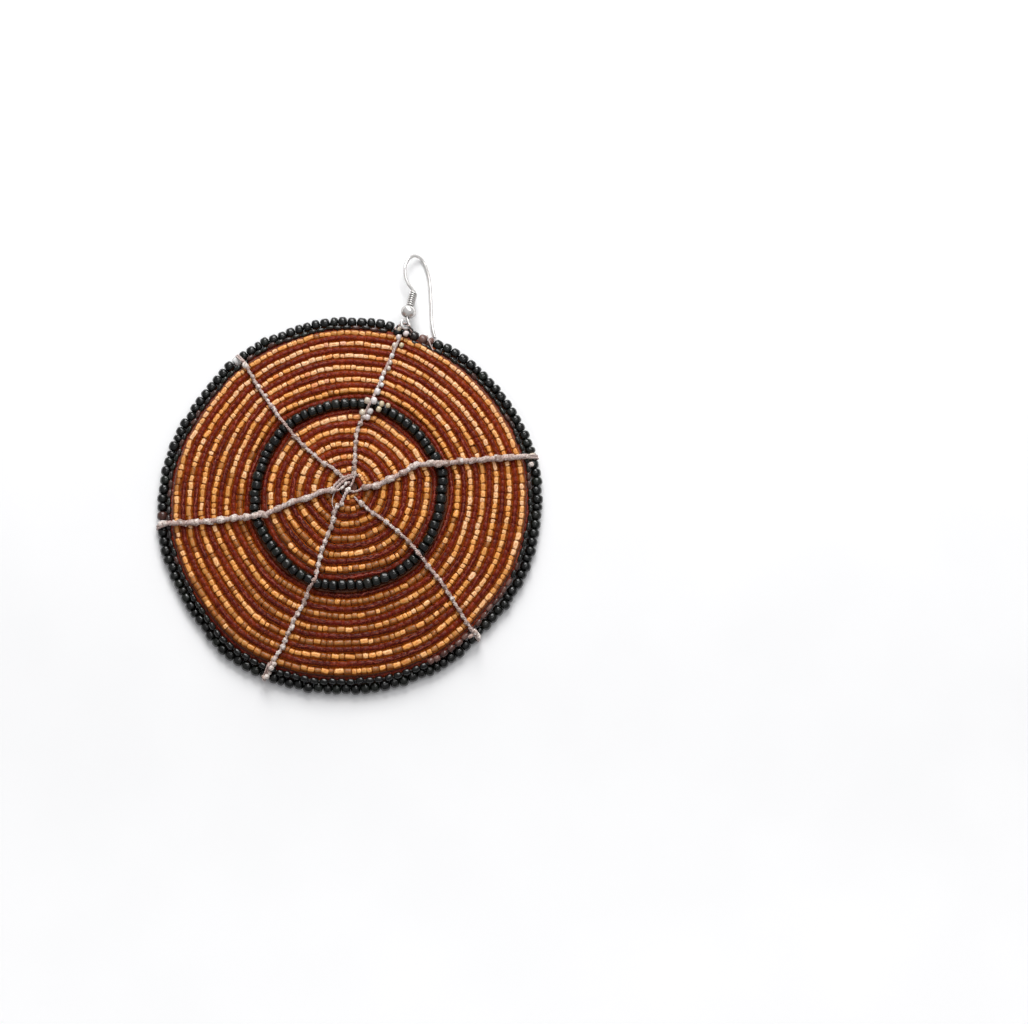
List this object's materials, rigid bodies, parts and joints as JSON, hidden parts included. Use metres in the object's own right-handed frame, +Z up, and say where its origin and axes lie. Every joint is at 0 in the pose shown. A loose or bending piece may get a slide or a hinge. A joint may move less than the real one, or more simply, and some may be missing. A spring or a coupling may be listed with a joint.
{
  "type": "beaded disc earring",
  "caption": "Round, slightly domed disc of concentric gold and brown bead strings with a black ring and rim, radial thread spokes and a fish-hook ear wire, lying face up.",
  "frame": {"origin": "on the surface it lies on, below the middle of the overall length and width", "axes": "+Z up from the surface to the face, +Y from the disc to the hook's bend, +X to the right seen from above"},
  "size_m": [0.0742, 0.0868, 0.0069],
  "materials": {
    "gold_bead": "glossy amber glass with a bright lining",
    "brown_bead": "glossy dark red-brown glass",
    "black_bead": "glossy opaque black glass",
    "thread": "waxed greyish thread",
    "hook_metal": "bright plated wire"
  },
  "bodies": {
    "root": {"gold_row_01": "gold_bead", "gold_row_02": "gold_bead", "gold_row_03": "gold_bead", "gold_row_04": "gold_bead", "gold_row_05": "gold_bead", "gold_row_06": "gold_bead", "gold_row_07": "gold_bead", "gold_row_08": "gold_bead", "gold_row_09": "gold_bead", "gold_row_10": "gold_bead", "gold_row_11": "gold_bead", "brown_row_01": "brown_bead", "brown_row_02": "brown_bead", "brown_row_03": "brown_bead", "brown_row_04": "brown_bead", "brown_row_05": "brown_bead", "brown_row_06": "brown_bead", "brown_row_07": "brown_bead", "brown_row_08": "brown_bead", "brown_row_09": "brown_bead", "brown_row_10": "brown_bead", "brown_row_11": "brown_bead", "brown_row_12": "brown_bead", "brown_row_13": "brown_bead", "black_row": "black_bead", "rim_row_lower": "black_bead", "rim_row_upper": "black_bead", "spoke_thread_1": "thread", "spoke_thread_2": "thread", "spoke_thread_3": "thread", "spoke_thread_4": "thread", "spoke_thread_5": "thread", "spoke_thread_6": "thread", "centre_knot": "thread", "hanger_loop": "thread", "ear_hook": "hook_metal", "hook_coil": "hook_metal", "hook_ball": "hook_metal"}
  },
  "joints": []
}
